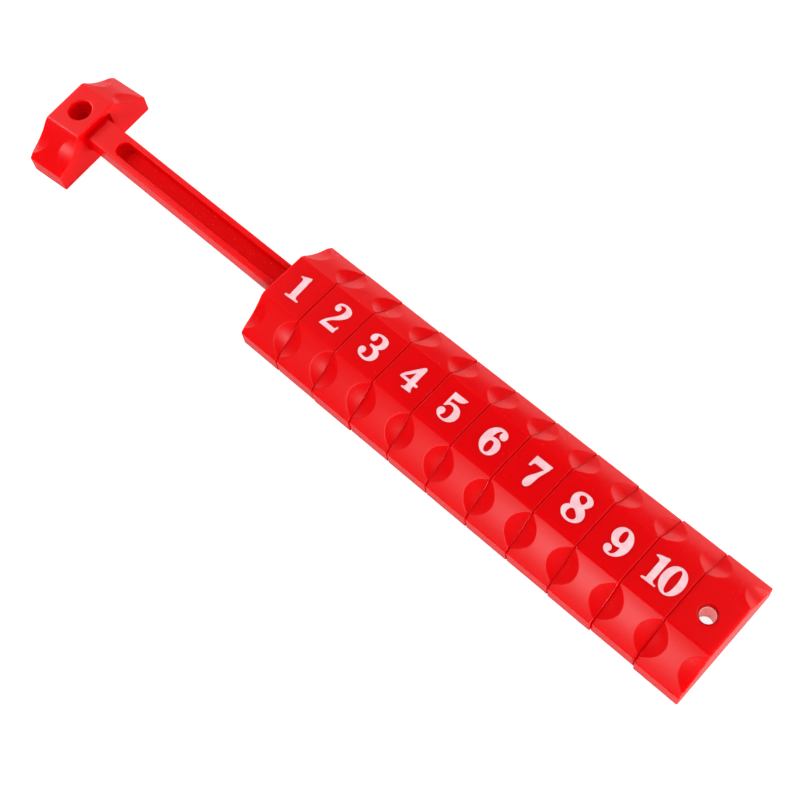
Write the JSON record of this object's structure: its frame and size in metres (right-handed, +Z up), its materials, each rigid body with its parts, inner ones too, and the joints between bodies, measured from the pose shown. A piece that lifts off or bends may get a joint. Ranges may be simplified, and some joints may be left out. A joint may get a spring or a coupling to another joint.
{
  "type": "table football score counter",
  "caption": "Red plastic score counter: numbered sliding blocks with finger dimples on a grooved rail, a screw-down block at each end.",
  "frame": {"origin": "midway between the axes of the two fixing screw holes, on the plane that the blocks stand on", "axes": "+X along the rail from the end cap to the end block, +Y to the top of the numerals, +Z up"},
  "size_m": [0.2486, 0.0378, 0.0144],
  "materials": {
    "red_plastic": "gloss, moulded",
    "pale_ink": "pad printed ink"
  },
  "bodies": {
    "base": {"rail": "red_plastic", "end_cap": "red_plastic", "end_block": "red_plastic"},
    "counter_1": {"slide_1": "red_plastic", "numeral_1": "pale_ink"},
    "counter_2": {"slide_2": "red_plastic", "numeral_2": "pale_ink"},
    "counter_3": {"slide_3": "red_plastic", "numeral_3": "pale_ink"},
    "counter_4": {"slide_4": "red_plastic", "numeral_4": "pale_ink"},
    "counter_5": {"slide_5": "red_plastic", "numeral_5": "pale_ink"},
    "counter_6": {"slide_6": "red_plastic", "numeral_6": "pale_ink"},
    "counter_7": {"slide_7": "red_plastic", "numeral_7": "pale_ink"},
    "counter_8": {"slide_8": "red_plastic", "numeral_8": "pale_ink"},
    "counter_9": {"slide_9": "red_plastic", "numeral_9": "pale_ink"},
    "counter_10": {"slide_10": "red_plastic", "numeral_10_one": "pale_ink", "numeral_10_zero": "pale_ink"}
  },
  "joints": [
    {"name": "slide_10_move", "type": "slide", "parent": "base", "child": "counter_10", "axis": [1, 0, 0], "range_m": [-0.0078, 0]},
    {"name": "slide_9_move", "type": "slide", "parent": "counter_10", "child": "counter_9", "axis": [1, 0, 0], "range_m": [-0.0078, 0]},
    {"name": "slide_8_move", "type": "slide", "parent": "counter_9", "child": "counter_8", "axis": [1, 0, 0], "range_m": [-0.0078, 0]},
    {"name": "slide_7_move", "type": "slide", "parent": "counter_8", "child": "counter_7", "axis": [1, 0, 0], "range_m": [-0.0078, 0]},
    {"name": "slide_6_move", "type": "slide", "parent": "counter_7", "child": "counter_6", "axis": [1, 0, 0], "range_m": [-0.0078, 0]},
    {"name": "slide_5_move", "type": "slide", "parent": "counter_6", "child": "counter_5", "axis": [1, 0, 0], "range_m": [-0.0078, 0]},
    {"name": "slide_4_move", "type": "slide", "parent": "counter_5", "child": "counter_4", "axis": [1, 0, 0], "range_m": [-0.0078, 0]},
    {"name": "slide_3_move", "type": "slide", "parent": "counter_4", "child": "counter_3", "axis": [1, 0, 0], "range_m": [-0.0078, 0]},
    {"name": "slide_2_move", "type": "slide", "parent": "counter_3", "child": "counter_2", "axis": [1, 0, 0], "range_m": [-0.0078, 0]},
    {"name": "slide_1_move", "type": "slide", "parent": "counter_2", "child": "counter_1", "axis": [1, 0, 0], "range_m": [-0.0078, 0]}
  ]
}
